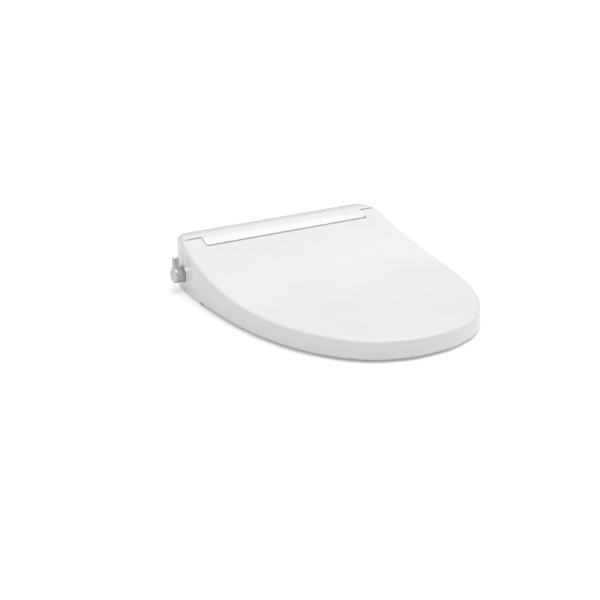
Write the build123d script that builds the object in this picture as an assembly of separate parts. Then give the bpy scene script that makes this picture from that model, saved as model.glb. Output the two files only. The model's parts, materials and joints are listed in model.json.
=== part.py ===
from build123d import *
import math
import os

os.makedirs("parts", exist_ok=True)

# Frame: millimetres, +Z up, the user sits facing -Y.
# The origin lies on the bowl rim, midway between the two bowl bolts.

# Plan outline shared by the lid and the base
outline_half_width = 193.1
outline_wide_y = -102.9
lid_tip_y = -420.6
front_power = 2.35
rear_taper = 5.9
rear_power = 2.61

# Lid
lid_front_height = 33.2
lid_rise = 49.9
lid_rise_power = 3.79
lid_wall = 3.0
lid_edge_radius = 5.0
lid_skirt_bottom = 4.9
lid_rear_y = 0.0

# Seam between the lid skirt and the base side panel, as stations (y, z)
seam_points = [(-2.5, 52.0), (-10.0, 41.0), (-22.0, 28.0), (-39.0, 18.6), (-58.0, 10.2), (-78.0, 0.0)]
seam_gap = 0.9

# Base housing
base_inset = 0.6
base_rear_y = 45.0
base_corner_radius = 18.0
base_bottom = 0.6
cover_wall = 2.6
strip_front_y = 1.0
strip_step = 1.9
strip_rise = 3.0
strip_end = 0.4
strip_crown_y = 18.0
strip_edge_radius = 12.0
ear_width = 41.1
tongue_half_width = outline_half_width - ear_width
side_panel_x = outline_half_width - rear_taper - base_inset
tongue_front_y = -17.0
tongue_gap = 0.9
tongue_front_gap = 3.0
tongue_corner_radius = 4.0
shoulder_front_y = -30.0
shoulder_drop = 4.0
side_cavity_front_y = 10.5

# Hinge line of the seat ring and the lid
hinge_y = -6.0
hinge_drop = 11.1
hinge_z = lid_front_height + lid_rise - hinge_drop
ear_radius = math.hypot(lid_rear_y - hinge_y, hinge_drop)
hinge_pin_radius = 3.0
running_clearance = 0.05
hinge_gap = 2.5
hinge_side_gap = 6.2
hinge_pin_end = 3.0
seat_knuckle_width = 9.0
seat_knuckle_inner_x = tongue_half_width + hinge_gap
seat_knuckle_outer_x = seat_knuckle_inner_x + seat_knuckle_width
seat_knuckle_radius = 4.5
lid_knuckle_inner_x = seat_knuckle_outer_x + hinge_gap
lid_knuckle_outer_x = outline_half_width - rear_taper - lid_wall - hinge_side_gap
lid_knuckle_radius = 6.4
bush_wall = 1.4

# Dampers inside the tongue, on the inner ends of the hinge pins
damper_radius = 5.2
damper_length = 30.0
damper_side_gap = 3.4
damper_cap = 6.0
hinge_pin_inner_x = tongue_half_width - cover_wall - damper_side_gap - damper_length
hinge_pin_outer_x = lid_knuckle_outer_x + hinge_pin_end
damper_saddle_wall = 2.5
damper_saddle_depth = 7.0

# Seat ring
seat_inset = 9.0
lid_seat_gap = 3.2
seat_top = lid_front_height - lid_wall - lid_seat_gap
seat_bottom = 8.0
seat_wall = 3.0
seat_rear_y = -36.0
seat_edge_radius = 7.0
seat_corner_radius = 12.0
hole_half_width = 103.0
hole_half_length = 128.0
hole_rear_y = -100.0
hole_centre_y = hole_rear_y - hole_half_length
hole_power = 2.25
seat_plate_thickness = 2.5
seat_fit = 0.3
nozzle_notch_half_width = 36.0
nozzle_notch_margin = 18.0
nozzle_notch_front_y = hole_rear_y + nozzle_notch_margin
nozzle_notch_height = 19.5

# Nozzles
nozzle_slope = 14.0
nozzle_mid_y = -30.0
nozzle_mid_z = 11.0
nozzle_radius = 5.0
nozzle_spacing = 26.0
nozzle_length = 102.0
nozzle_tip_length = 16.0
nozzle_clearance = 0.3
shield_half_width = 38.0
shield_bottom = 9.5
shield_top = 35.0
shield_thickness = 2.0
shield_overlap = 4.0
shield_gap = 0.2
nozzle_bore_radius = 2.6
barrel_wall = 2.6
barrel_front = 42.0
barrel_rear = -66.0
barrel_cap = 3.0
web_front = -18.0
web_rear = -58.0
web_thickness = 3.0
barrel_nipple_radius = 3.0
barrel_nipple_height = 14.0
rear_nipple_at = -58.0
front_nipple_at = -40.0

# Flow valve on the user's right
valve_y = 1.5
valve_z = 28.3
valve_radius = 11.0
valve_recess = 4.6
valve_outer_x = valve_recess - side_panel_x
valve_bore_radius = 7.2
spindle_radius = 6.8
spindle_length = 40.0
lever_radius = 13.0
lever_edge_radius = 2.4
paddle_rise = 31.0
paddle_depth = 8.6
paddle_thickness = 8.0
paddle_tip_thickness = 6.0
collar_radius = 14.2
collar_stand_out = 0.6
collar_outer_x = -side_panel_x - collar_stand_out
lever_gap = 0.4
lever_depth = 16.2
lever_base_x = collar_outer_x - lever_gap
lever_face_x = lever_base_x - lever_depth
nipple_rise = 13.0
outlet_side_gap = 10.0
outlet_spacing = 20.0
valve_end = 14.0
rear_outlet_x = outlet_side_gap - tongue_half_width
front_outlet_x = rear_outlet_x + outlet_spacing
valve_inner_x = front_outlet_x + valve_end
hose_radius = 4.0
hose_bore_radius = 2.6
hose_bend = 9.0
hose_gap = 0.5
hose_step = 9.0
rear_hose_height = hinge_z - damper_saddle_depth - hose_gap - hose_radius
front_hose_height = rear_hose_height - hose_step

# Water inlet at the back, G1/2 male thread taken as its major diameter
inlet_side_gap = 2.0
inlet_x = inlet_side_gap - tongue_half_width
inlet_z = valve_z
inlet_thread_radius = 10.48
inlet_neck_radius = 9.6
inlet_neck = 0.5
inlet_length = 12.0
inlet_bore_radius = 7.0
inlet_flange_radius = 14.0
inlet_flange_thickness = 2.5
check_valve_radius = 8.6
check_valve_length = 12.0
filter_wall = 0.8
filter_length = 9.0

# Lower case
floor_bottom = 4.8
floor_thickness = 2.4
floor_front_y = -13.5
case_fit = 0.4
tunnel_half_width = 15.0
tunnel_height = 15.0
tunnel_wall = 1.8
screw_radius = 1.7
screw_head_radius = 3.6
screw_head_height = 2.2
screw_length = 13.0
boss_radius = 4.6
foot_radius = 8.0

# Mounting plate and bowl fixings
bolt_spacing = 140.0
bolt_radius = 4.0
bolt_head_radius = 6.5
bolt_head_height = 5.3
bolt_length = 48.0
plate_thickness = 4.0
plate_half_width = 90.0
plate_lip = 6.0
plate_lip_bottom = 2.2
plate_front_y = -12.0
plate_rear_y = 28.0
plate_slot_length = 18.0
adjuster_radius = 11.0
adjuster_thickness = 2.0
bolt_clearance = 0.3
plug_radius = 7.0
plug_length = 34.0
plug_flange_radius = 10.0
plug_flange_thickness = 2.0
plug_neck = 0.6
plug_neck_radius = 6.7
nut_radius = 5.6
nut_length = 7.0
rail_gap = 0.4
rail_width = 3.6

# Screws and feet under the case, on both sides of the mounting plate
rear_screw_inset = 24.0
front_screw_margin = 11.0
rear_screw_x = tongue_half_width - rear_screw_inset
front_screw_x = plate_half_width + front_screw_margin
screw_places = [(-rear_screw_x, 34.0), (rear_screw_x, 34.0), (-front_screw_x, -8.0), (front_screw_x, -8.0)]
rear_foot_inset = 6.0
front_foot_inset = 12.0
rear_foot_x = tongue_half_width - rear_foot_inset
front_foot_x = tongue_half_width - front_foot_inset
foot_places = [(-rear_foot_x, 26.0), (rear_foot_x, 26.0), (-front_foot_x, -4.0), (front_foot_x, -4.0)]

# Release button on the user's left
button_y = 19.0
button_z = 26.0
button_width = 13.0
button_height = 9.0
button_stand_out = 1.6
button_depth = 20.0
button_flange = 2.0
button_flange_margin = 1.5
button_clearance = 0.4
spring_radius = 3.2
spring_wire = 0.9
spring_length = 14.0
spring_stop_thickness = 3.0

# Bumpers
bumper_radius = 7.0
seat_bumper_places = [(-140.0, -150.0), (140.0, -150.0), (-96.0, -340.0), (96.0, -340.0)]
lid_bumper_places = [(-120.0, -330.0), (120.0, -330.0)]

far = 600.0


def half_width(y):
    back = abs((y - outline_wide_y) / outline_wide_y)
    return outline_half_width - rear_taper * back ** rear_power


def lid_height(y):
    along = max(0.0, (y - lid_tip_y) / -lid_tip_y)
    return lid_front_height + lid_rise * along ** lid_rise_power


def block(x0, x1, y0, y1, z0, z1):
    solid = Box(x1 - x0, y1 - y0, z1 - z0)
    return Pos((x0 + x1) / 2, (y0 + y1) / 2, (z0 + z1) / 2) * solid


def rod_x(radius, x0, x1, y, z):
    return Pos((x0 + x1) / 2, y, z) * Rot(0, 90, 0) * Cylinder(radius, abs(x1 - x0))


def rod_y(radius, x, y0, y1, z):
    return Pos(x, (y0 + y1) / 2, z) * Rot(90, 0, 0) * Cylinder(radius, abs(y1 - y0))


def rod_z(radius, x, y, z0, z1):
    return Pos(x, y, (z0 + z1) / 2) * Cylinder(radius, abs(z1 - z0))


def both_sides(solid):
    return solid + mirror(solid, about=Plane.YZ)


def group(solids):
    return Compound(children=list(solids))


# Closed plan outline: superellipse at the front, gentle taper to the rear
def plan_face(rear_y, inset):
    rear_step = (outline_wide_y - rear_y) / 4
    points = [(half_width(rear_y + rear_step * i) - inset, rear_y + rear_step * i) for i in range(4)]
    points.append((outline_half_width - inset, outline_wide_y))
    for angle in (12, 27, 42, 56, 70, 81):
        across = math.cos(math.radians(angle)) ** (2 / front_power)
        along = math.sin(math.radians(angle)) ** (2 / front_power)
        y = outline_wide_y - (outline_wide_y - lid_tip_y - inset) * along
        points.append(((outline_half_width - inset) * across, y))
    points.append((0, lid_tip_y + inset))
    start = (points[1][0] - points[0][0], points[1][1] - points[0][1])
    side = Spline(*points, tangents=[start, (-1, 0)])
    back = Line((-points[0][0], rear_y), (points[0][0], rear_y))
    return make_face([side, mirror(side, about=Plane.YZ), back])


def plan_prism(rear_y, inset, z0, z1):
    return Pos(0, 0, z0) * extrude(plan_face(rear_y, inset), z1 - z0)


# A solid band across the whole width from a side profile of (y, z) edges
def side_band(edges, x0=-far, x1=far):
    face = make_face(edges)
    return Pos(x0, 0, 0) * extrude(face, amount=x1 - x0, dir=(1, 0, 0))


def side_line(*points):
    return Polyline(*[(0, y, z) for y, z in points])


def lid_curve(drop, rear_y):
    stations = [lid_tip_y - 20, lid_tip_y, -340, -260, -190, -130, -80, -40, (rear_y - 40) / 2, rear_y]
    return [(0, y, lid_height(y) - drop) for y in stations]


# Everything below the lid's top surface, lowered by drop
def under_lid(drop):
    rear_y = 20.0
    curve = lid_curve(drop, rear_y)
    top = Spline(*curve)
    low = -60.0
    rest = side_line((rear_y, curve[-1][2]), (rear_y, low), (lid_tip_y - 20, low), (lid_tip_y - 20, curve[0][2]))
    return side_band([top, rest])


# Everything behind and below the seam, moved down and back by a gap
def behind_seam(gap, x0=-far, x1=far):
    points = [(0, y + gap, z - gap) for y, z in seam_points]
    curve = Spline(*points)
    top_y = lid_rear_y + gap
    rest = side_line(
        (seam_points[-1][0] + gap, seam_points[-1][1] - gap),
        (seam_points[-1][0] + gap, -40),
        (80, -40),
        (80, 120),
        (top_y, 120),
        (top_y, lid_height(lid_rear_y)),
        (seam_points[0][0] + gap, seam_points[0][1] - gap),
    )
    return side_band([curve, rest], x0, x1)


# Superellipse opening of the seat ring, grown outward by grow
def hole_face(grow):
    points = []
    for angle in range(0, 360, 15):
        c = math.cos(math.radians(angle))
        s = math.sin(math.radians(angle))
        across = math.copysign(abs(c) ** (2 / hole_power), c)
        along = math.copysign(abs(s) ** (2 / hole_power), s)
        x = (hole_half_width + grow) * across
        y = hole_centre_y + (hole_half_length + grow) * along
        points.append((x, y))
    return make_face(Spline(*points, periodic=True))


# Frame of a nozzle: local Z runs along the travel, forward and down
def nozzle_place(side):
    turn = Rot(90 + nozzle_slope, 0, 0)
    return Pos(side * nozzle_spacing / 2, nozzle_mid_y, nozzle_mid_z) * turn


def lid():
    ear_rear_y = hinge_y + ear_radius
    outer = plan_prism(ear_rear_y, 0, lid_skirt_bottom, lid_skirt_bottom + far) & under_lid(0)
    crown = [e for e in outer.edges() if e.center().Z > lid_front_height - 1 and e.center().Y < lid_rear_y - 1]
    outer = fillet(crown, lid_edge_radius)
    inner = plan_prism(ear_rear_y + 20, lid_wall, -10, far) & under_lid(lid_wall)
    shell = outer - inner
    notch_half = tongue_half_width + tongue_gap
    notch = block(-notch_half, notch_half, tongue_front_y - tongue_front_gap, far, -far, far)
    corners = notch.edges().filter_by(Axis.Z).sort_by(Axis.Y)[:2]
    shell = shell - fillet(corners, tongue_corner_radius)
    # the ears end in a round about the hinge line, so they turn clear of the strip
    shell = shell - (behind_seam(0) - rod_x(ear_radius, -far, far, hinge_y, hinge_z))
    boss = rod_x(lid_knuckle_radius, lid_knuckle_inner_x, lid_knuckle_outer_x, hinge_y, hinge_z)
    web = block(lid_knuckle_inner_x, lid_knuckle_outer_x, hinge_y - 14, hinge_y, hinge_z - 3, far)
    web = web & under_lid(1)
    bore_end = hinge_pin_outer_x + hinge_pin_radius / 4
    bore = rod_x(hinge_pin_radius + running_clearance + bush_wall, tongue_half_width, bore_end, hinge_y, hinge_z)
    return shell + both_sides((boss & under_lid(1)) + web) - both_sides(bore)


def lid_bushes():
    inner = hinge_pin_radius + running_clearance
    tube = rod_x(inner + bush_wall, lid_knuckle_inner_x, lid_knuckle_outer_x, hinge_y, hinge_z)
    tube = tube - rod_x(inner, lid_knuckle_inner_x - 1, lid_knuckle_outer_x + 1, hinge_y, hinge_z)
    return group([tube, mirror(tube, about=Plane.YZ)])


def lid_bumpers():
    pads = []
    for x, y in lid_bumper_places:
        ceiling = lid_height(y) - lid_wall
        pads.append(rod_z(bumper_radius, x, y, seat_top, ceiling - 0.2))
    return group(pads)


def seat_shell():
    body = plan_prism(seat_rear_y, seat_inset, seat_bottom, seat_top)
    posts = [e for e in body.edges().filter_by(Axis.Z) if e.center().Y > seat_rear_y - 1]
    body = fillet(posts, seat_corner_radius)
    body = fillet(body.edges().group_by(Axis.Z)[-1], seat_edge_radius)
    body = body - Pos(0, 0, -far) * extrude(hole_face(0), 2 * far)
    reach = hole_half_width + seat_wall
    top_edges = [e for e in body.edges() if e.bounding_box().min.Z > seat_top - 0.01]
    rim = [e for e in top_edges if max(abs(e.bounding_box().min.X), e.bounding_box().max.X) < reach]
    body = fillet(rim, seat_edge_radius)
    inner = plan_prism(seat_rear_y - seat_wall, seat_inset + seat_wall, -10, seat_top - seat_wall)
    posts = [e for e in inner.edges().filter_by(Axis.Z) if e.center().Y > seat_rear_y - seat_wall - 1]
    inner = fillet(posts, seat_corner_radius - seat_wall)
    inner = inner - Pos(0, 0, -far) * extrude(hole_face(seat_wall), 2 * far)
    body = body - inner
    notch = block(
        -nozzle_notch_half_width,
        nozzle_notch_half_width,
        nozzle_notch_front_y,
        seat_rear_y + 10,
        -10,
        nozzle_notch_height,
    )
    arm_face = make_face(
        side_line(
            (seat_rear_y - 34, seat_top - 6),
            (seat_rear_y - 22, seat_top + 8),
            (hinge_y - 22, hinge_z - 8),
            (hinge_y - 3, hinge_z + 3.0),
            (hinge_y + 3, hinge_z - 3.6),
            (hinge_y - 22, hinge_z - 24),
            (seat_rear_y + 2, seat_top + 6),
            (seat_rear_y, seat_top - 6),
            (seat_rear_y - 34, seat_top - 6),
        )
    )
    arm_width = seat_knuckle_outer_x - seat_knuckle_inner_x
    arm = Pos(seat_knuckle_inner_x, 0, 0) * extrude(arm_face, amount=arm_width, dir=(1, 0, 0))
    arm = arm + rod_x(seat_knuckle_radius, seat_knuckle_inner_x, seat_knuckle_outer_x, hinge_y, hinge_z)
    bore = rod_x(hinge_pin_radius + running_clearance, tongue_half_width, lid_knuckle_inner_x, hinge_y, hinge_z)
    return body - notch + both_sides(arm) - both_sides(bore)


def seat_base_plate():
    inset = seat_inset + seat_wall + seat_fit
    plate_top = seat_bottom + seat_plate_thickness
    plate = plan_prism(seat_rear_y - seat_wall - seat_fit, inset, seat_bottom, plate_top)
    posts = [e for e in plate.edges().filter_by(Axis.Z) if e.center().Y > seat_rear_y - seat_wall - 1]
    plate = fillet(posts, seat_corner_radius - seat_wall - seat_fit)
    plate = plate - Pos(0, 0, -far) * extrude(hole_face(seat_wall + seat_fit), 2 * far)
    half = nozzle_notch_half_width + seat_fit
    notch = block(-half, half, nozzle_notch_front_y - seat_fit, seat_rear_y + 10, -10, far)
    return plate - notch


def seat_bumpers():
    return group([rod_z(bumper_radius, x, y, 0, seat_bottom) for x, y in seat_bumper_places])


# Outer block of the housing before it is hollowed: tongue and strip under one crowned top, and the two ends
def housing_block(inset, drop):
    top_rear = base_rear_y - inset
    level = lid_front_height + lid_rise - drop
    curve = lid_curve(drop, tongue_front_y)[2:]
    crown = [(0, strip_front_y, level + strip_step), (0, strip_crown_y, level + strip_rise)]
    rear = (0, top_rear, level + strip_end)
    low = base_bottom if drop == 0 else -20.0
    first = curve[0]
    rest = side_line((top_rear, rear[2]), (top_rear, low), (first[1], low), (first[1], first[2]))
    band = side_band([Spline(*curve, *crown, rear), rest])
    plan = plan_prism(base_rear_y, base_inset + inset, -40, 140)
    posts = [e for e in plan.edges().filter_by(Axis.Z) if e.center().Y > 0]
    plan = fillet(posts, base_corner_radius - inset)
    shape = plan & band
    # round the top over the two ends, the rear corners and the back
    rims = [e for e in shape.edges() if e.bounding_box().max.Z > rear[2] - 1 and e.bounding_box().max.Y > 0]
    rims = [e for e in rims if e.bounding_box().size.X + e.bounding_box().size.Y > 1]
    return fillet(rims, strip_edge_radius - inset)


def upper_cover():
    outer = housing_block(0, 0)
    end_wall = tongue_half_width - cover_wall
    panel_inner = plan_prism(base_rear_y + 20, base_inset + cover_wall, -far, far)
    # the space in front of the tongue and shoulders, inside the side panels
    front_room = block(-far, far, -far, shoulder_front_y, -far, far) & panel_inner
    middle_room = block(-tongue_half_width, tongue_half_width, -far, tongue_front_y, -far, far)
    outer = outer - front_room - middle_room
    # round the tongue's two front corners in plan
    radius = tongue_corner_radius - tongue_gap
    centre_x = tongue_half_width - radius
    centre_y = tongue_front_y + radius
    corner = block(centre_x, tongue_half_width + 1, tongue_front_y - 1, centre_y, -far, far)
    corner = corner - rod_z(radius, centre_x, centre_y, -2 * far, 2 * far)
    outer = outer - both_sides(corner)
    # the lid's ears take the room above the seam, the seat arms a little more inside
    for sign in (-1, 1):
        x0 = min(sign * tongue_half_width, sign * far)
        x1 = max(sign * tongue_half_width, sign * far)
        ear = block(x0, x1, -far, strip_front_y, -far, far) - behind_seam(seam_gap, x0, x1)
        shoulder = block(x0, x1, -far, strip_front_y, -far, far) - behind_seam(seam_gap + shoulder_drop, x0, x1)
        outer = outer - ear - (shoulder & panel_inner)
        sweep = rod_x(ear_radius + seam_gap, x0, x1, hinge_y, hinge_z)
        outer = outer - sweep
    # hollow the middle, the rear corners and the shoulders from below
    inner = housing_block(cover_wall, cover_wall)
    middle = block(-end_wall, end_wall, tongue_front_y + cover_wall, 100, -far, far) & inner
    outer = outer - middle
    for sign in (-1, 1):
        x0 = min(sign * end_wall, sign * far)
        x1 = max(sign * end_wall, sign * far)
        corner = block(x0, x1, side_cavity_front_y, 100, -far, far) & inner
        deep = behind_seam(seam_gap + shoulder_drop + cover_wall, x0, x1)
        pocket = block(x0, x1, shoulder_front_y + cover_wall, side_cavity_front_y + 1, -far, valve_z + 17)
        outer = outer - corner - (pocket & deep & panel_inner)
    window_half = shield_half_width - shield_overlap
    window_top = shield_top - shield_overlap
    window_rear = tongue_front_y + cover_wall + 1
    window = block(-window_half, window_half, tongue_front_y - 1, window_rear, -far, window_top)
    valve_hole = rod_x(valve_radius + case_fit, valve_outer_x, valve_outer_x + spindle_length, valve_y, valve_z)
    collar_hole = rod_x(collar_radius + case_fit, -far, valve_outer_x + 10, valve_y, valve_z)
    outer = outer - window - valve_hole - collar_hole
    pin_hole = rod_x(hinge_pin_radius + running_clearance, end_wall - 2, tongue_half_width + 2, hinge_y, hinge_z)
    outer = outer - both_sides(pin_hole)
    inlet_hole = rod_y(inlet_thread_radius + case_fit, inlet_x, 30, 60, inlet_z)
    button_hole = block(
        button_inner_x(),
        far,
        button_y - button_width / 2 - button_clearance,
        button_y + button_width / 2 + button_clearance,
        button_z - button_height / 2 - button_clearance,
        button_z + button_height / 2 + button_clearance,
    )
    outer = outer - inlet_hole - button_hole
    # the rear wall is open at the bottom, so the unit slides forward off its plate
    rear_out = base_rear_y + 5
    exit_half = plate_half_width + 2 * rail_gap + rail_width
    exit_front = base_rear_y - cover_wall - 1
    outer = outer - block(-exit_half, exit_half, exit_front, rear_out, -far, floor_bottom)
    for sign in (-1, 1):
        x = sign * bolt_spacing / 2
        half = tunnel_half_width
        outer = outer - block(x - half, x + half, exit_front, rear_out, -far, tunnel_top())
    boss_bottom = floor_bottom + floor_thickness
    for x, y in screw_places:
        post = rod_z(boss_radius, x, y, boss_bottom, far) & housing_block(1, 1)
        outer = outer + post
    for x, y in screw_places:
        outer = outer - rod_z(screw_radius + 0.1, x, y, 0, floor_bottom + screw_length + 1)
    return outer


def lower_case():
    top = floor_bottom + floor_thickness
    room = housing_block(cover_wall + case_fit, 20)
    floor = block(-far, far, side_cavity_front_y + 1, 100, floor_bottom, top) & room
    end = tongue_half_width - cover_wall - case_fit
    floor = floor + block(-end, end, floor_front_y, side_cavity_front_y + 1, floor_bottom, top)
    head_top = tunnel_top()
    for sign in (-1, 1):
        x = sign * bolt_spacing / 2
        wide = tunnel_half_width + tunnel_wall
        rear = base_rear_y - cover_wall - case_fit
        roof = block(x - wide, x + wide, floor_front_y, rear, floor_bottom, head_top + tunnel_wall)
        floor = floor + roof
        floor = floor - block(
            x - tunnel_half_width,
            x + tunnel_half_width,
            floor_front_y + tunnel_wall,
            100,
            -1,
            head_top,
        )
        side = sign * (plate_half_width + rail_gap)
        outside = side + sign * rail_width
        rail = block(min(side, outside), max(side, outside), plate_front_y, 38, base_bottom, floor_bottom)
        inside = side - sign * (plate_lip - rail_gap)
        lip = block(
            min(side, inside),
            max(side, inside),
            plate_front_y,
            38,
            base_bottom,
            plate_lip_bottom - rail_gap,
        )
        floor = floor + rail + lip
    for x, y in screw_places:
        floor = floor - rod_z(screw_radius + 0.3, x, y, 0, 30)
    # rib behind the button spring
    stop_x = spring_stop_x()
    rib = block(stop_x - spring_stop_thickness, stop_x, button_y - 7, button_y + 7, top - 0.5, button_z + 6)
    # saddles that hold the nozzle barrels
    saddle = block(-26, 26, floor_front_y, floor_front_y + 4, top - 0.5, nozzle_mid_z + 6)
    saddle = saddle + block(-26, 26, 22, 26, top - 0.5, nozzle_mid_z + 14)
    # cradle under the valve
    cradle = block(valve_inner_x - 12, valve_inner_x - 6, -12, 12, top - 0.5, valve_z - 4)
    cradle = cradle - rod_x(valve_radius + 0.1, -far, 0, valve_y, valve_z)
    tray = floor + rib + saddle + cradle - nozzle_web(2 * case_fit)
    for side in (-1, 1):
        tray = tray - nozzle_place(side) * Cylinder(nozzle_radius + nozzle_clearance + barrel_wall + 0.1, far)
    return tray


# Height of the room for the bolt heads
def tunnel_top():
    return floor_bottom + tunnel_height - plate_thickness


def spring_stop_x():
    return button_inner_x() - spring_length


def button_face_x():
    return half_width(button_y) - base_inset + button_stand_out


def button_inner_x():
    return button_face_x() - button_depth


def release_button():
    y0 = button_y - button_width / 2
    y1 = button_y + button_width / 2
    z0 = button_z - button_height / 2
    z1 = button_z + button_height / 2
    face_x = button_face_x()
    core = block(face_x - button_depth, face_x, y0, y1, z0, z1)
    front = core.faces().sort_by(Axis.X)[-1]
    core = fillet(front.edges(), 1.2)
    margin = button_flange_margin
    wall_inner = half_width(y1 + margin) - base_inset - cover_wall - button_clearance
    flange = block(wall_inner - button_flange, wall_inner, y0 - margin, y1 + margin, z0 - margin, z1 + margin)
    return core + flange


def release_spring():
    x1 = button_inner_x()
    x0 = x1 - spring_length
    tube = rod_x(spring_radius, x0, x1, button_y, button_z)
    return tube - rod_x(spring_radius - spring_wire, x0 - 1, x1 + 1, button_y, button_z)


def hinge_pins():
    pin = rod_x(hinge_pin_radius, hinge_pin_inner_x, hinge_pin_outer_x, hinge_y, hinge_z)
    return group([pin, mirror(pin, about=Plane.YZ)])


def damper(sign):
    x0 = sign * hinge_pin_inner_x
    x1 = sign * (hinge_pin_inner_x + damper_length)
    barrel = rod_x(damper_radius, x0 - sign * damper_cap, x1, hinge_y, hinge_z)
    return barrel - rod_x(hinge_pin_radius + running_clearance, x0, x1 + sign, hinge_y, hinge_z)


def damper_saddles():
    x0 = hinge_pin_inner_x + 8
    x1 = x0 + 8
    wall_y = tongue_front_y + cover_wall
    front_y = hinge_y + damper_radius + damper_saddle_wall
    body = block(x0, x1, wall_y, front_y, hinge_z - damper_saddle_depth, hinge_z - 1)
    body = body - rod_x(damper_radius + 0.1, x0 - 1, x1 + 1, hinge_y, hinge_z)
    return group([body, mirror(body, about=Plane.YZ)])


def valve_body():
    body = rod_x(valve_radius, valve_outer_x, valve_inner_x, valve_y, valve_z)
    body = body - rod_x(valve_bore_radius, valve_outer_x - 1, valve_outer_x + spindle_length + 2, valve_y, valve_z)
    for x in (rear_outlet_x, front_outlet_x):
        body = body + rod_z(hose_radius, x, valve_y, valve_z + 8.5, valve_z + nipple_rise)
        body = body - rod_z(hose_bore_radius, x, valve_y, valve_z + 9, valve_z + nipple_rise + 1)
    stub = rod_y(check_valve_radius, inlet_x, valve_y + 8, valve_y + 14, valve_z)
    chamber = rod_x(valve_bore_radius, valve_outer_x - 1, valve_outer_x + spindle_length + 2, valve_y, valve_z)
    return body + (stub - chamber)


def valve_spindle():
    inner = valve_outer_x + spindle_length
    shaft = rod_x(spindle_radius, valve_outer_x, inner, valve_y, valve_z)
    return shaft + rod_x(spindle_radius - 1.5, lever_base_x, valve_outer_x, valve_y, valve_z)


def valve_collar():
    ring = rod_x(collar_radius, collar_outer_x, valve_outer_x - 0.1, valve_y, valve_z)
    return ring - rod_x(spindle_radius - 1.2, -far, valve_outer_x, valve_y, valve_z)


def valve_lever():
    knob = rod_x(lever_radius, lever_face_x, lever_base_x, valve_y, valve_z)
    face_edge = knob.edges().sort_by(Axis.X)[0]
    knob = fillet(face_edge, lever_edge_radius)
    half = paddle_thickness / 2
    tip = paddle_tip_thickness / 2
    top = valve_z + paddle_rise
    face = make_face(
        Polyline(
            (lever_face_x + 0.6, valve_y - half - 3, valve_z + 6),
            (lever_face_x + 0.6, valve_y - tip, top),
            (lever_face_x + 0.6, valve_y + tip, top),
            (lever_face_x + 0.6, valve_y + half + 3, valve_z + 6),
            (lever_face_x + 0.6, valve_y - half - 3, valve_z + 6),
        )
    )
    paddle = extrude(face, amount=paddle_depth, dir=(1, 0, 0))
    tops = paddle.edges().filter_by(Axis.X).group_by(Axis.Z)[-1]
    paddle = fillet(tops, 2.4)
    seat = rod_x(spindle_radius - 1.5 + 0.05, lever_base_x - 8, lever_base_x + 1, valve_y, valve_z)
    return knob + paddle - seat


def spindle_nose():
    return rod_x(spindle_radius - 1.5, lever_base_x - 8, lever_base_x, valve_y, valve_z)


def inlet_spigot():
    wall = base_rear_y - cover_wall
    tip = base_rear_y + inlet_length
    start = valve_y + 14 + check_valve_length
    body = rod_y(inlet_neck_radius, inlet_x, start, tip, inlet_z)
    body = body + rod_y(inlet_thread_radius, inlet_x, base_rear_y + inlet_neck, tip, inlet_z)
    body = body + rod_y(inlet_flange_radius, inlet_x, wall - inlet_flange_thickness, wall - 0.1, inlet_z)
    return body - rod_y(inlet_bore_radius, inlet_x, start - 1, tip + 1, inlet_z)


def check_valve():
    start = valve_y + 14
    body = rod_y(check_valve_radius, inlet_x, start, start + check_valve_length, inlet_z)
    return body - rod_y(inlet_bore_radius - 2, inlet_x, start + 3, start + check_valve_length + 1, inlet_z)


def inlet_filter():
    tip = base_rear_y + inlet_length
    cup = rod_y(inlet_bore_radius - 0.1, inlet_x, tip - filter_length, tip - 1, inlet_z)
    floor_y = tip - filter_length + filter_wall
    return cup - rod_y(inlet_bore_radius - 0.1 - filter_wall, inlet_x, floor_y, tip, inlet_z)


def nozzle_barrel(side, nipple_at):
    place = nozzle_place(side)
    inner = nozzle_radius + nozzle_clearance
    outer = inner + barrel_wall
    length = barrel_front - barrel_rear
    middle = (barrel_front + barrel_rear) / 2
    body = place * Pos(0, 0, middle) * Cylinder(outer, length)
    y, z = nozzle_point(nipple_at)
    x = side * nozzle_spacing / 2
    body = body + rod_z(barrel_nipple_radius, x, y, z, z + barrel_nipple_height)
    bore = place * Pos(0, 0, middle + barrel_cap) * Cylinder(inner, length)
    return body - bore


def nozzle_point(at):
    slope = math.radians(nozzle_slope)
    return nozzle_mid_y - at * math.cos(slope), nozzle_mid_z - at * math.sin(slope)


# Flat web that joins the two barrels behind the shield
def nozzle_web(grow):
    middle = (web_front + web_rear) / 2
    size = Box(nozzle_spacing - 10 + grow, web_thickness + grow, web_front - web_rear + grow)
    return nozzle_place(0) * Pos(0, 0, middle) * size


def nozzle_cradle():
    pair = nozzle_barrel(-1, rear_nipple_at) + nozzle_barrel(1, front_nipple_at)
    web = nozzle_web(0)
    for side in (-1, 1):
        web = web - nozzle_place(side) * Cylinder(nozzle_radius + nozzle_clearance + 0.5, far)
    return pair + web


def nozzle_tube(side):
    front = barrel_front - 1
    length = nozzle_length - nozzle_tip_length
    middle = front - nozzle_tip_length - length / 2
    body = nozzle_place(side) * Pos(0, 0, middle) * Cylinder(nozzle_radius, length)
    return body - nozzle_place(side) * Pos(0, 0, middle) * Cylinder(nozzle_bore_radius, length + 2)


def nozzle_tip(side):
    front = barrel_front - 1
    solid = Cylinder(nozzle_radius, nozzle_tip_length)
    solid = fillet(solid.edges().sort_by(Axis.Z)[-1], nozzle_radius - 1.2)
    solid = nozzle_place(side) * Pos(0, 0, front - nozzle_tip_length / 2) * solid
    y, z = nozzle_point(front - 8)
    spray = rod_z(0.7, side * nozzle_spacing / 2, y, z, z + 20)
    return solid - spray


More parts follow.
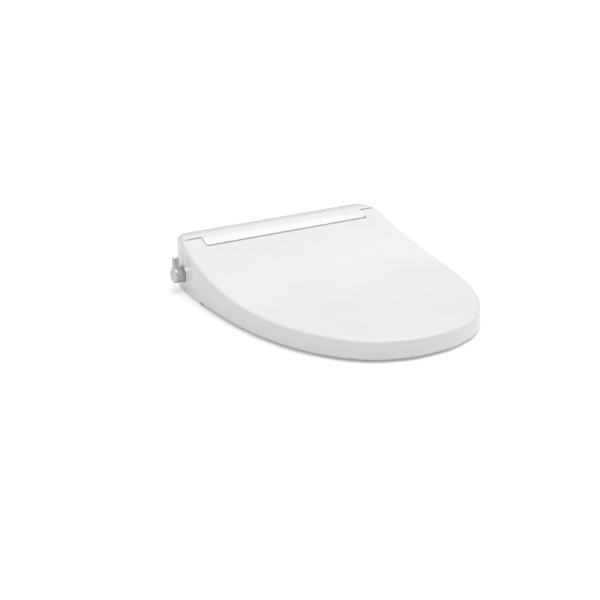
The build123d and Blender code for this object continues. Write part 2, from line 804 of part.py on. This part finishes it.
def nozzle_shield():
    rear = tongue_front_y - shield_gap
    plate = block(-shield_half_width, shield_half_width, rear - shield_thickness, rear, shield_bottom, shield_top)
    for side in (-1, 1):
        hole = nozzle_place(side) * Cylinder(nozzle_radius + nozzle_clearance + barrel_wall + 0.3, far)
        plate = plate - hole
    return plate


def hose(points):
    path = FilletPolyline(*points, radius=hose_bend)
    start = Plane(path @ 0, z_dir=path % 0)
    ring = start * Circle(hose_radius) - start * Circle(hose_bore_radius)
    return sweep(ring, path=path)


def wash_hose(side, outlet_x, nipple_at, height):
    y, z = nozzle_point(nipple_at)
    x = side * nozzle_spacing / 2
    points = [
        (outlet_x, valve_y, valve_z + nipple_rise),
        (outlet_x, valve_y, height),
        (x, y, height),
        (x, y, z + barrel_nipple_height),
    ]
    return hose(points)


def mounting_plate():
    core = plate_half_width - plate_lip
    body = block(-core, core, plate_front_y, plate_rear_y, 0, plate_thickness)
    lips = block(
        -plate_half_width,
        plate_half_width,
        plate_front_y,
        plate_rear_y,
        plate_lip_bottom,
        plate_thickness,
    )
    body = body + lips
    for sign in (-1, 1):
        x = sign * bolt_spacing / 2
        slot_face = SlotOverall(plate_slot_length, 2 * (bolt_radius + bolt_clearance), rotation=90)
        slot = Pos(x, 0, -1) * extrude(slot_face, plate_thickness + 2)
        body = body - slot
        recess = rod_z(plug_flange_radius + bolt_clearance, x, 0, -1, plug_flange_thickness + 0.1)
        body = body - recess
    return body


def at_bolts(make):
    return group([make(-bolt_spacing / 2), make(bolt_spacing / 2)])


def bolt_adjuster(x):
    top = plate_thickness + adjuster_thickness
    ring = rod_z(adjuster_radius, x, 0, plate_thickness, top)
    return ring - rod_z(bolt_radius + bolt_clearance, x, 0, 0, top + 1)


def mounting_bolt(x):
    under = plate_thickness + adjuster_thickness
    shank = rod_z(bolt_radius, x, 0, under - bolt_length, under)
    head = Pos(x, 0, under) * extrude(RegularPolygon(bolt_head_radius, 6), bolt_head_height)
    return shank + head


def expansion_plug(x):
    sleeve = rod_z(plug_radius, x, 0, -plug_length, -plug_neck) + rod_z(plug_neck_radius, x, 0, -plug_neck, 0)
    flange = rod_z(plug_flange_radius, x, 0, 0, plug_flange_thickness)
    bottom_room = rod_z(nut_radius + 0.1, x, 0, -plug_length - 1, -plug_length + nut_length)
    return sleeve + flange - rod_z(bolt_radius + bolt_clearance, x, 0, -80, 20) - bottom_room


def plug_nut(x):
    body = rod_z(nut_radius, x, 0, -plug_length, -plug_length + nut_length - 0.1)
    return body - rod_z(bolt_radius + 0.05, x, 0, -80, 20)


def case_screw(x, y):
    head = rod_z(screw_head_radius, x, y, floor_bottom - screw_head_height, floor_bottom)
    return head + rod_z(screw_radius, x, y, floor_bottom, floor_bottom + screw_length)


def base_feet():
    return group([rod_z(foot_radius, x, y, 0, floor_bottom) for x, y in foot_places])


parts = {
    "lid": lid(),
    "lid_hinge_bushes": lid_bushes(),
    "lid_bumpers": lid_bumpers(),
    "seat_ring": seat_shell(),
    "seat_base_plate": seat_base_plate(),
    "seat_bumpers": seat_bumpers(),
    "upper_cover": upper_cover(),
    "lower_case": lower_case(),
    "base_feet": base_feet(),
    "case_screws": group([case_screw(x, y) for x, y in screw_places]),
    "hinge_pins": hinge_pins(),
    "lid_damper": damper(1),
    "seat_damper": damper(-1),
    "damper_saddles": damper_saddles(),
    "valve_body": valve_body(),
    "valve_spindle": valve_spindle() + spindle_nose(),
    "valve_collar": valve_collar(),
    "valve_lever": valve_lever(),
    "inlet_spigot": inlet_spigot(),
    "check_valve": check_valve(),
    "inlet_filter": inlet_filter(),
    "nozzle_cradle": nozzle_cradle(),
    "nozzle_shield": nozzle_shield(),
    "rear_nozzle": nozzle_tube(-1),
    "rear_nozzle_tip": nozzle_tip(-1),
    "front_nozzle": nozzle_tube(1),
    "front_nozzle_tip": nozzle_tip(1),
    "rear_wash_hose": wash_hose(-1, rear_outlet_x, rear_nipple_at, rear_hose_height),
    "front_wash_hose": wash_hose(1, front_outlet_x, front_nipple_at, front_hose_height),
    "release_button": release_button(),
    "release_spring": release_spring(),
    "mounting_plate": mounting_plate(),
    "bolt_adjusters": at_bolts(bolt_adjuster),
    "mounting_bolts": at_bolts(mounting_bolt),
    "expansion_plugs": at_bolts(expansion_plug),
    "plug_nuts": at_bolts(plug_nut),
}

for name, shape in parts.items():
    export_step(shape, f"parts/{name}.step")
    print(name, "valid" if shape.is_valid else "not valid")
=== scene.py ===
import json
import math

import bmesh
import bpy
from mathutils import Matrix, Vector


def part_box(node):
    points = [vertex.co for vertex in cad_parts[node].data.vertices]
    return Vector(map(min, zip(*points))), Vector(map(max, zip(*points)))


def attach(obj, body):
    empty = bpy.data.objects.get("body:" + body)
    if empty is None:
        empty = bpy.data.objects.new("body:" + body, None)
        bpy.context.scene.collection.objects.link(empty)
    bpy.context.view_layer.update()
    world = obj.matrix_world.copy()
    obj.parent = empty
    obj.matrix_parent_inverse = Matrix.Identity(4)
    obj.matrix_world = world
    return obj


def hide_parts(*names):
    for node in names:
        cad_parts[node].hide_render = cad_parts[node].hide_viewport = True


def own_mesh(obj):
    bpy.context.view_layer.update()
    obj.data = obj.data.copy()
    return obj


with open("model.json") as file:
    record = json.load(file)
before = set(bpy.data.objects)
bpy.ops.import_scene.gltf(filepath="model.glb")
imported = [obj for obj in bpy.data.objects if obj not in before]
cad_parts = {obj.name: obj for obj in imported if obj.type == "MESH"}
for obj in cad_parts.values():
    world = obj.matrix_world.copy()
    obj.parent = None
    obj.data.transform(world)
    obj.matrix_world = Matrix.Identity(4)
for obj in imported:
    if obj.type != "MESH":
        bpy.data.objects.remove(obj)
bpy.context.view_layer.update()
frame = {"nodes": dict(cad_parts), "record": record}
nodes = frame["nodes"]


# Shader maths: a socket that takes part in plain Python expressions
class Value:
    def __init__(self, finish, socket):
        self.finish = finish
        self.socket = socket

    def __add__(self, other):
        return self.finish.math("ADD", self, other)

    def __radd__(self, other):
        return self.finish.math("ADD", other, self)

    def __sub__(self, other):
        return self.finish.math("SUBTRACT", self, other)

    def __rmul__(self, other):
        return self.finish.math("MULTIPLY", other, self)


class Finish:
    def __init__(self, name):
        self.material = bpy.data.materials.new(name)
        self.material.use_nodes = True
        self.tree = self.material.node_tree
        self.tree.nodes.clear()
        self.output = self.node("ShaderNodeOutputMaterial")

    def node(self, kind, settings=None, sockets=None):
        made = self.tree.nodes.new(kind)
        for key, value in (settings or {}).items():
            setattr(made, key, value)
        for key, value in (sockets or {}).items():
            self.feed(made.inputs[key], value)
        return made

    def feed(self, socket, value):
        if isinstance(value, Value):
            self.tree.links.new(value.socket, socket)
        elif isinstance(value, bpy.types.NodeSocket):
            self.tree.links.new(value, socket)
        else:
            socket.default_value = value

    def math(self, operation, a, b):
        made = self.node("ShaderNodeMath", {"operation": operation}, {0: a, 1: b})
        return Value(self, made.outputs[0])

    def place(self):
        return self.node("ShaderNodeTexCoord").outputs["Object"]

    def noise(self, scale, detail=2.0, roughness=0.5, stretch=None):
        where = self.place()
        if stretch:
            where = self.node("ShaderNodeMapping", None, {"Vector": where, "Scale": stretch}).outputs[0]
        made = self.node("ShaderNodeTexNoise", None,
                         {"Vector": where, "Scale": scale, "Detail": detail, "Roughness": roughness})
        return Value(self, made.outputs["Fac"])

    def limit(self, value, low, high):
        made = self.node("ShaderNodeMapRange", {"clamp": True},
                         {"Value": value, "From Min": low, "From Max": high, "To Min": 0.0, "To Max": 1.0})
        return Value(self, made.outputs["Result"])

    def blendColours(self, amount, first, second):
        made = self.node("ShaderNodeMix", {"data_type": "RGBA"}, {0: amount, 6: first, 7: second})
        return made.outputs[2]

    def bump(self, height, strength, distance):
        made = self.node("ShaderNodeBump", None,
                         {"Strength": strength, "Distance": distance, "Height": height})
        return made.outputs["Normal"]

    def principled(self, sockets):
        shader = self.node("ShaderNodeBsdfPrincipled", None, sockets)
        self.tree.links.new(shader.outputs[0], self.output.inputs["Surface"])
        return self.material


# Moulded plastic: faint flow clouds, orange peel on the gloss, and light rub marks
glossWhiteLook = {"colour": (0.862, 0.868, 0.872, 1), "shade": (0.835, 0.842, 0.848, 1), "rough": 0.17,
                  "roughSpread": 0.10, "peel": 0.05, "coat": 0.35, "rub": 0.06}
satinWhiteLook = {"colour": (0.80, 0.80, 0.79, 1), "shade": (0.76, 0.76, 0.75, 1), "rough": 0.42,
                  "roughSpread": 0.12, "peel": 0.16, "coat": 0.0, "rub": 0.05}
greyPlasticLook = {"colour": (0.30, 0.31, 0.32, 1), "shade": (0.25, 0.26, 0.27, 1), "rough": 0.46,
                   "roughSpread": 0.12, "peel": 0.2, "coat": 0.0, "rub": 0.08}
ivoryPlasticLook = {"colour": (0.78, 0.77, 0.73, 1), "shade": (0.74, 0.73, 0.69, 1), "rough": 0.32,
                    "roughSpread": 0.1, "peel": 0.1, "coat": 0.1, "rub": 0.05}
tipPlasticLook = {"colour": (0.85, 0.85, 0.85, 1), "shade": (0.82, 0.82, 0.82, 1), "rough": 0.2,
                  "roughSpread": 0.08, "peel": 0.05, "coat": 0.3, "rub": 0.04}
hosePlasticLook = {"colour": (0.72, 0.74, 0.75, 1), "shade": (0.67, 0.69, 0.70, 1), "rough": 0.3,
                   "roughSpread": 0.1, "peel": 0.1, "coat": 0.1, "rub": 0.03}


def mouldedPlastic(name, look):
    f = Finish(name)
    clouds = f.noise(9.0, 3.0, 0.55)
    rubs = f.limit(f.noise(160.0, 4.0, 0.6, (1.0, 0.12, 1.0)), 0.60, 0.78)
    peel = f.noise(1500.0, 1.0, 0.4) + 0.4 * f.noise(420.0, 1.0, 0.4)
    colour = f.blendColours(f.limit(clouds, 0.32, 0.68), look["shade"], look["colour"])
    rough = look["rough"] + look["roughSpread"] * (clouds - 0.5) + look["rub"] * rubs
    return f.principled({
        "Base Color": colour, "Roughness": rough, "IOR": 1.5,
        "Coat Weight": look["coat"], "Coat Roughness": 0.08,
        "Normal": f.bump(peel, look["peel"], 0.0003)})


# Plated and bare metal: fine brushing lines and darker smudges
chromeLook = {"colour": (0.63, 0.64, 0.66, 1), "shade": (0.53, 0.54, 0.56, 1), "rough": 0.07, "spread": 0.08,
              "brush": 0.03, "stretch": (1, 1, 1)}
steelLook = {"colour": (0.62, 0.62, 0.63, 1), "shade": (0.50, 0.50, 0.51, 1), "rough": 0.28, "spread": 0.16,
             "brush": 0.25, "stretch": (0.05, 1, 1)}
brassLook = {"colour": (0.74, 0.58, 0.31, 1), "shade": (0.55, 0.41, 0.21, 1), "rough": 0.26, "spread": 0.2,
             "brush": 0.2, "stretch": (1, 0.05, 1)}


def metal(name, look):
    f = Finish(name)
    smudge = f.noise(70.0, 4.0, 0.6)
    lines = f.noise(900.0, 2.0, 0.5, look["stretch"])
    colour = f.blendColours(f.limit(smudge, 0.3, 0.62), look["shade"], look["colour"])
    rough = look["rough"] + look["spread"] * f.limit(smudge, 0.45, 0.8)
    return f.principled({
        "Base Color": colour, "Metallic": 1.0, "Roughness": rough,
        "Normal": f.bump(lines, look["brush"], 0.0001)})


greyRubberLook = {"colour": (0.62, 0.62, 0.61, 1), "shade": (0.54, 0.54, 0.53, 1), "rough": 0.7}
blackRubberLook = {"colour": (0.035, 0.035, 0.036, 1), "shade": (0.06, 0.06, 0.06, 1), "rough": 0.66}


def rubber(name, look):
    f = Finish(name)
    grain = f.noise(1100.0, 3.0, 0.6)
    dust = f.limit(f.noise(55.0, 4.0, 0.65), 0.45, 0.75)
    colour = f.blendColours(dust, look["colour"], look["shade"])
    return f.principled({
        "Base Color": colour, "Roughness": look["rough"] + 0.12 * (grain - 0.5),
        "Normal": f.bump(grain, 0.3, 0.0002)})


finishes = {
    "gloss_white": mouldedPlastic("moulded gloss white", glossWhiteLook),
    "satin_white": mouldedPlastic("moulded satin white", satinWhiteLook),
    "grey_plastic": mouldedPlastic("moulded dark grey", greyPlasticLook),
    "ivory_plastic": mouldedPlastic("smooth ivory", ivoryPlasticLook),
    "tip_plastic": mouldedPlastic("nozzle tip white", tipPlasticLook),
    "hose_plastic": mouldedPlastic("extruded tube", hosePlasticLook),
    "chrome": metal("chrome plating", chromeLook),
    "steel": metal("bright stainless", steelLook),
    "brass": metal("turned brass", brassLook),
    "grey_rubber": rubber("soft grey rubber", greyRubberLook),
    "black_rubber": rubber("black rubber", blackRubberLook),
}
print("finishes made:", len(finishes))


# Every CAD node takes the finish of its slot
def dressNodes():
    for part in frame["record"]["subparts"]:
        thing = nodes[part["node"]]
        finish = finishes[part["material_slot"]]
        if not thing.material_slots:
            thing.data.materials.append(finish)
        for holder in thing.material_slots:
            holder.link = "OBJECT"
            holder.material = finish


dressNodes()
print("CAD nodes dressed")


# Mesh building: turned bodies, threads and swept wire, all in metres
def turnedBody(bm, place, along, section, segments=48, thread=None, closed=True):
    start = Vector(place)
    axis = Vector(along).normalized()
    side = axis.orthogonal().normalized()
    up = axis.cross(side)
    rings = []
    for distance, radius in section:
        ring = []
        for step in range(segments):
            angle = 2 * math.pi * step / segments
            r = radius
            if thread and thread["from"] < distance < thread["to"] and radius >= thread["crest"] - 1e-6:
                r -= thread["depth"] * abs(2 * ((distance / thread["pitch"] - step / segments) % 1.0) - 1)
            outward = side * math.cos(angle) + up * math.sin(angle)
            ring.append(bm.verts.new(start + axis * distance + outward * r))
        rings.append(ring)
    pairs = list(zip(rings, rings[1:]))
    if closed:
        pairs.append((rings[-1], rings[0]))
    for first, second in pairs:
        for step in range(segments):
            after = (step + 1) % segments
            bm.faces.new((first[step], first[after], second[after], second[step]))
    if not closed:
        bm.faces.new(rings[0])
        bm.faces.new(rings[-1])
    return rings


def threadRun(start, end, pitch, radius):
    steps = max(2, round((end - start) / pitch * 6))  # six rings a turn
    return [(start + (end - start) * i / steps, radius) for i in range(steps + 1)]


def sweptWire(bm, points, radius, sides=8):
    rings = []
    for i, point in enumerate(points):
        ahead = points[min(i + 1, len(points) - 1)] - points[max(i - 1, 0)]
        across = ahead.cross(Vector((1, 0, 0))).normalized()
        over = ahead.cross(across).normalized()
        turns = [2 * math.pi * k / sides for k in range(sides)]
        around = [across * math.cos(t) + over * math.sin(t) for t in turns]
        rings.append([bm.verts.new(point + outward * radius) for outward in around])
    for first, second in zip(rings, rings[1:]):
        for k in range(sides):
            bm.faces.new((first[k], first[(k + 1) % sides], second[(k + 1) % sides], second[k]))
    bm.faces.new(rings[0])
    bm.faces.new(rings[-1])


def addPiece(name, bm, body, slot, node, crease=32.0):
    bmesh.ops.recalc_face_normals(bm, faces=bm.faces)
    mesh = bpy.data.meshes.new(name)
    bm.to_mesh(mesh)
    bm.free()
    mesh.shade_smooth()
    mesh.set_sharp_from_angle(angle=math.radians(crease))
    mesh.materials.append(finishes[slot])
    piece = bpy.data.objects.new(name, mesh)
    bpy.context.collection.objects.link(piece)
    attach(piece, body)
    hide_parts(node)
    return piece


# Water inlet: brass spigot with its pipe thread
inletLook = {"place": (-0.150, 0.0, 0.0283), "start": 0.0275, "bore": 0.0070, "neck": 0.0096, "flange": 0.0140,
             "flangeFrom": 0.0399, "flangeTo": 0.0423, "crest": 0.01048, "threadFrom": 0.0455, "tip": 0.0570,
             "pitch": 0.001814, "depth": 0.00116, "point": 0.0006}


def makeInlet():
    s = inletLook
    end = s["tip"] - s["point"]
    run = threadRun(s["threadFrom"], end, s["pitch"], s["crest"])
    section = [(s["start"], s["bore"]), (s["start"], s["neck"]), (s["flangeFrom"], s["neck"]),
               (s["flangeFrom"], s["flange"]), (s["flangeTo"], s["flange"]), (s["flangeTo"], s["neck"]),
               (s["threadFrom"], s["neck"])] + run + [(s["tip"], s["neck"]), (s["tip"], s["bore"])]
    thread = {"from": s["threadFrom"], "to": end, "pitch": s["pitch"], "depth": s["depth"],
              "crest": s["crest"]}
    bm = bmesh.new()
    turnedBody(bm, s["place"], (0, 1, 0), section, 72, thread)
    return addPiece("inletSpigotThreaded", bm, "base", "brass", "inlet_spigot")


# Bowl bolts: chamfered hex heads and a coarse thread on the lower half
boltLook = {"x": 0.070, "under": 0.006, "length": 0.048, "radius": 0.004, "head": 0.0065, "headHeight": 0.0053,
            "threadFrom": 0.022, "pitch": 0.00125, "depth": 0.00055, "dishRim": 0.0034, "dishFloor": 0.0029,
            "dishDepth": 0.0009, "point": 0.0008}


def makeBolts():
    s = boltLook
    end = s["length"] - s["point"]
    thread = {"from": s["threadFrom"], "to": end, "pitch": s["pitch"], "depth": s["depth"],
              "crest": s["radius"]}
    shank = [(0.0, s["radius"])] + threadRun(s["threadFrom"], end, s["pitch"], s["radius"])
    shank.append((s["length"], s["radius"] * 0.75))
    high = s["headHeight"]
    head = [(0.0, s["head"]), (high * 0.82, s["head"]), (high, s["head"] * 0.86), (high, s["dishRim"]),
            (high - s["dishDepth"], s["dishFloor"])]
    bm = bmesh.new()
    for x in (-s["x"], s["x"]):
        turnedBody(bm, (x, 0, s["under"]), (0, 0, -1), shank, 40, thread, False)
        turnedBody(bm, (x, 0, s["under"]), (0, 0, 1), head, 6, None, False)
    return addPiece("bowlBoltsThreaded", bm, "mount", "steel", "mounting_bolts", 25.0)


# Expansion plugs: ribbed rubber sleeves with a soft shoulder
plugLook = {"x": 0.070, "flange": 0.010, "flangeHeight": 0.002, "neck": 0.0067, "crest": 0.0070,
            "valley": 0.0063, "bore": 0.0043, "room": 0.0057, "roomDepth": 0.007, "length": 0.034, "ribs": 6}


def makePlugs():
    s = plugLook
    top = s["flangeHeight"]
    low = top + s["length"]
    section = [(0.0, s["bore"]), (0.0, s["flange"] - 0.0006), (0.0005, s["flange"]),
               (top - 0.0002, s["flange"]), (top, s["flange"] - 0.0003), (top, s["neck"]),
               (top + 0.0006, s["neck"])]
    pitch = (s["length"] - 0.004) / s["ribs"]
    for rib in range(s["ribs"]):
        at = top + 0.001 + rib * pitch
        section += [(at, s["valley"]), (at + 0.25 * pitch, s["crest"]), (at + 0.8 * pitch, s["crest"]),
                    (at + 0.95 * pitch, s["valley"])]
    section += [(low - 0.0025, s["crest"]), (low - 0.0006, s["crest"]), (low, s["crest"] - 0.0006),
                (low, s["room"]), (low - s["roomDepth"], s["room"]), (low - s["roomDepth"], s["bore"])]
    bm = bmesh.new()
    for x in (-s["x"], s["x"]):
        turnedBody(bm, (x, 0, top), (0, 0, -1), section, 48)
    return addPiece("expansionPlugsRibbed", bm, "mount", "black_rubber", "expansion_plugs", 40.0)


# Case screws: pan heads with a cross recess, seen from below
screwLook = {"places": [(-0.128, 0.034), (0.128, 0.034), (-0.101, -0.008), (0.101, -0.008)], "seat": 0.0048,
             "head": 0.0036, "height": 0.0022, "shank": 0.0017, "length": 0.013, "pitch": 0.0012,
             "depth": 0.00035, "threadFrom": 0.001, "threadTo": 0.0118, "point": 0.0005,
             "slot": 0.00034, "reach": 0.0017, "recess": 0.0011}


def makeScrews():
    s = screwLook
    high = s["height"]
    head = [(0.0, s["head"]), (0.45 * high, s["head"]), (0.78 * high, 0.90 * s["head"]),
            (0.95 * high, 0.72 * s["head"]), (high, 0.54 * s["head"])]
    head += [(high, r) for r in (0.0016, 0.0013, 0.0010, 0.0007, 0.0004)]
    thread = {"from": s["threadFrom"], "to": s["threadTo"], "pitch": s["pitch"], "depth": s["depth"],
              "crest": s["shank"]}
    run = threadRun(s["threadFrom"], s["threadTo"], s["pitch"], s["shank"])
    shank = [(0.0, s["shank"])] + run + [(s["length"], s["point"])]
    bm = bmesh.new()
    for x, y in s["places"]:
        rings = turnedBody(bm, (x, y, s["seat"]), (0, 0, -1), head, 96, None, False)
        for vert in [v for ring in rings[5:] for v in ring]:
            u, w = abs(vert.co.x - x), abs(vert.co.y - y)
            if min(u, w) < s["slot"] and max(u, w) < s["reach"]:
                vert.co.z += s["recess"] * (1 - 0.4 * max(u, w) / s["reach"])
        turnedBody(bm, (x, y, s["seat"]), (0, 0, 1), shank, 24, thread, False)
    return addPiece("caseScrewsCross", bm, "base", "steel", "case_screws")


# Pads: soft bumpers and feet with a rounded rim and a dimpled face
padLook = {"seat_bumpers": {"body": "seat", "radius": 0.007, "from": 0.008, "to": 0.0,
                            "places": [(-0.140, -0.150), (0.140, -0.150), (-0.096, -0.340), (0.096, -0.340)]},
           "lid_bumpers": {"body": "lid", "radius": 0.007, "from": 0.0301, "to": 0.027,
                           "places": [(-0.120, -0.330), (0.120, -0.330)]},
           "base_feet": {"body": "base", "radius": 0.008, "from": 0.0048, "to": 0.0,
                         "places": [(-0.146, 0.026), (0.146, 0.026), (-0.140, -0.004), (0.140, -0.004)]}}


def makePads():
    for node, s in padLook.items():
        high = s["from"] - s["to"]
        r = s["radius"]
        section = [(0.0, r), (high - 0.0012, r), (high - 0.0005, r - 0.0003), (high - 0.0001, r - 0.0009),
                   (high, r - 0.0016), (high, 0.52 * r), (high - 0.0004, 0.46 * r), (high - 0.0005, 0.08 * r)]
        bm = bmesh.new()
        for x, y in s["places"]:
            turnedBody(bm, (x, y, s["from"]), (0, 0, -1), section, 40, None, False)
        addPiece(node + "Soft", bm, s["body"], "grey_rubber", node, 50.0)


# Button spring: a wound coil with closed end turns
springLook = {"turns": 7.5, "closed": 1.0, "wire": 0.00045, "steps": 28, "travel": 0.0035}


def makeSpring():
    s = springLook
    low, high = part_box("release_spring")
    centre = (Vector(low) + Vector(high)) / 2
    radius = (high[2] - low[2]) / 2 - s["wire"]
    length = high[0] - low[0]
    count = round(s["turns"] * s["steps"])
    points = []
    for i in range(count + 1):
        turn = i / s["steps"]
        inner = min(max((turn - s["closed"]) / (s["turns"] - 2 * s["closed"]), 0.0), 1.0)
        ends = min(turn, s["closed"]) + max(0.0, turn - s["turns"] + s["closed"])
        free = length - 2 * s["wire"] - 4 * s["closed"] * s["wire"]
        x = low[0] + s["wire"] + 2 * s["wire"] * ends + free * inner
        angle = 2 * math.pi * turn
        points.append(Vector((x, centre.y + radius * math.cos(angle), centre.z + radius * math.sin(angle))))
    bm = bmesh.new()
    sweptWire(bm, points, s["wire"])
    piece = addPiece("releaseSpringCoil", bm, "base", "steel", "release_spring", 60.0)
    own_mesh(piece)


makeInlet()
makeBolts()
makePlugs()
makeScrews()
makePads()
makeSpring()
print("fittings modelled")


# Soft moulded edges on the CAD shells
edgeLook = {"upper_cover": 0.0006, "valve_lever": 0.0004, "valve_collar": 0.0004, "release_button": 0.0003,
            "mounting_plate": 0.0004, "lower_case": 0.0003, "nozzle_shield": 0.0003}


def softenEdges():
    for node, width in edgeLook.items():
        edge = nodes[node].modifiers.new("moulded edge", "BEVEL")
        edge.width = width
        edge.segments = 2
        edge.limit_method = "ANGLE"
        edge.angle_limit = math.radians(40)
        edge.use_clamp_overlap = True
        edge.harden_normals = False


softenEdges()
print("edges softened")


# Stage: pale floor at the rim plane, see-through from below so that the underside can be looked at
floorLook = {"size": 30.0, "colour": (0.90, 0.90, 0.90, 1), "grain": (0.91, 0.91, 0.91, 1), "rough": 0.7,
             "glow": 0.26}


def makeFloor():
    mesh = bpy.data.meshes.new("floor")
    half = floorLook["size"] / 2
    bm = bmesh.new()
    around = ((-half, -half), (half, -half), (half, half), (-half, half))
    bm.faces.new([bm.verts.new((x, y, 0.0)) for x, y in around])
    bm.to_mesh(mesh)
    bm.free()
    floor = bpy.data.objects.new("floor", mesh)
    bpy.context.collection.objects.link(floor)
    f = Finish("pale floor")
    grain = f.noise(30.0, 3.0, 0.5)
    colour = f.blendColours(grain, floorLook["colour"], floorLook["grain"])
    seen = f.node("ShaderNodeLightPath").outputs["Is Camera Ray"]
    matt = f.node("ShaderNodeBsdfPrincipled", None,
                  {"Base Color": colour, "Roughness": floorLook["rough"], "Specular IOR Level": 0.2})
    glow = f.node("ShaderNodeEmission", None, {"Strength": floorLook["glow"]})
    both = f.node("ShaderNodeAddShader")
    f.feed(both.inputs[0], matt.outputs[0])
    f.feed(both.inputs[1], glow.outputs[0])
    pick = f.node("ShaderNodeMixShader", None, {0: seen, 1: matt.outputs[0], 2: both.outputs[0]})
    below = f.node("ShaderNodeNewGeometry").outputs["Backfacing"]
    clear = f.node("ShaderNodeBsdfTransparent")
    sided = f.node("ShaderNodeMixShader", None, {0: below, 1: pick.outputs[0], 2: clear.outputs[0]})
    f.feed(f.output.inputs["Surface"], sided.outputs[0])
    mesh.materials.append(f.material)
    return floor


makeFloor()
print("floor laid")


# Light: an even white room, a wide soft sun from above and panels at the sides and the back
worldLook = {"fill": 0.46, "horizon": (0.24, 0.24, 0.25, 1), "zenith": (1, 1, 1, 1), "rise": 0.55}
sunLook = {"strength": 1.46, "angle": 60.0, "tilt": (6.0, 10.0)}
panels = [
    {"name": "leftPanel", "place": (-2.5, 0.5, 1.1), "aim": (0, -0.2, 0), "size": 1.6, "power": 5.0},
    {"name": "rightPanel", "place": (2.6, -0.5, 1.0), "aim": (0, -0.2, 0), "size": 1.8, "power": 10.0},
    {"name": "backPanel", "place": (0.4, 2.6, 1.5), "aim": (0, 0, 0), "size": 2.2, "power": 9.0},
]


def lightWorld():
    world = bpy.data.worlds.new("studio")
    world.use_nodes = True
    tree = world.node_tree
    tree.nodes.clear()
    rays = tree.nodes.new("ShaderNodeLightPath")
    where = tree.nodes.new("ShaderNodeTexCoord")
    parts = tree.nodes.new("ShaderNodeSeparateXYZ")
    tree.links.new(where.outputs["Generated"], parts.inputs[0])
    climb = tree.nodes.new("ShaderNodeMapRange")
    climb.inputs["From Max"].default_value = worldLook["rise"]
    tree.links.new(parts.outputs["Z"], climb.inputs["Value"])
    sky = tree.nodes.new("ShaderNodeMix")
    sky.data_type = "RGBA"
    sky.inputs[6].default_value = worldLook["horizon"]
    sky.inputs[7].default_value = worldLook["zenith"]
    tree.links.new(climb.outputs[0], sky.inputs[0])
    mirrored = tree.nodes.new("ShaderNodeBackground")
    tree.links.new(sky.outputs[2], mirrored.inputs["Color"])
    seen = tree.nodes.new("ShaderNodeMath")
    seen.operation = "MAXIMUM"
    tree.links.new(rays.outputs["Is Camera Ray"], seen.inputs[0])
    tree.links.new(rays.outputs["Is Transmission Ray"], seen.inputs[1])
    fill = tree.nodes.new("ShaderNodeBackground")
    fill.inputs["Strength"].default_value = worldLook["fill"]
    white = tree.nodes.new("ShaderNodeBackground")
    mixer = tree.nodes.new("ShaderNodeMixShader")
    for background in (fill, white):
        background.inputs["Color"].default_value = (1, 1, 1, 1)
    shiny = tree.nodes.new("ShaderNodeMixShader")
    tree.links.new(rays.outputs["Is Glossy Ray"], shiny.inputs[0])
    tree.links.new(fill.outputs[0], shiny.inputs[1])
    tree.links.new(mirrored.outputs[0], shiny.inputs[2])
    tree.links.new(seen.outputs[0], mixer.inputs[0])
    tree.links.new(shiny.outputs[0], mixer.inputs[1])
    tree.links.new(white.outputs[0], mixer.inputs[2])
    out = tree.nodes.new("ShaderNodeOutputWorld")
    tree.links.new(mixer.outputs[0], out.inputs["Surface"])
    bpy.context.scene.world = world


def lightSun():
    lamp = bpy.data.lights.new("softSun", "SUN")
    lamp.energy = sunLook["strength"]
    lamp.angle = math.radians(sunLook["angle"])
    holder = bpy.data.objects.new("softSun", lamp)
    holder.rotation_euler = (math.radians(sunLook["tilt"][0]), math.radians(sunLook["tilt"][1]), 0)
    bpy.context.collection.objects.link(holder)


def lightPanels():
    for panel in panels:
        lamp = bpy.data.lights.new(panel["name"], "AREA")
        lamp.size = panel["size"]
        lamp.energy = panel["power"]
        holder = bpy.data.objects.new(panel["name"], lamp)
        holder.location = panel["place"]
        holder.visible_glossy = False
        away = Vector(panel["aim"]) - Vector(panel["place"])
        holder.rotation_euler = away.to_track_quat("-Z", "Y").to_euler()
        bpy.context.collection.objects.link(holder)


lightWorld()
lightSun()
lightPanels()
print("lights set")


# Camera: solved from the photograph's perspective, 600 x 600 frame
cameraView = {"place": (-0.9711, -1.6679, 0.6756), "azimuth": -31.016, "down": 20.671, "focalPixels": 1213.2,
              "framePixels": 600}


def setCamera():
    data = bpy.data.cameras.new("camera")
    data.sensor_width = 36.0
    data.lens = data.sensor_width * cameraView["focalPixels"] / cameraView["framePixels"]
    data.clip_end = 50.0
    holder = bpy.data.objects.new("camera", data)
    holder.location = cameraView["place"]
    holder.rotation_euler = (math.radians(90 - cameraView["down"]), 0, math.radians(cameraView["azimuth"]))
    bpy.context.collection.objects.link(holder)
    bpy.context.scene.camera = holder


setCamera()
bpy.context.scene.view_settings.view_transform = "Standard"
print("camera set")
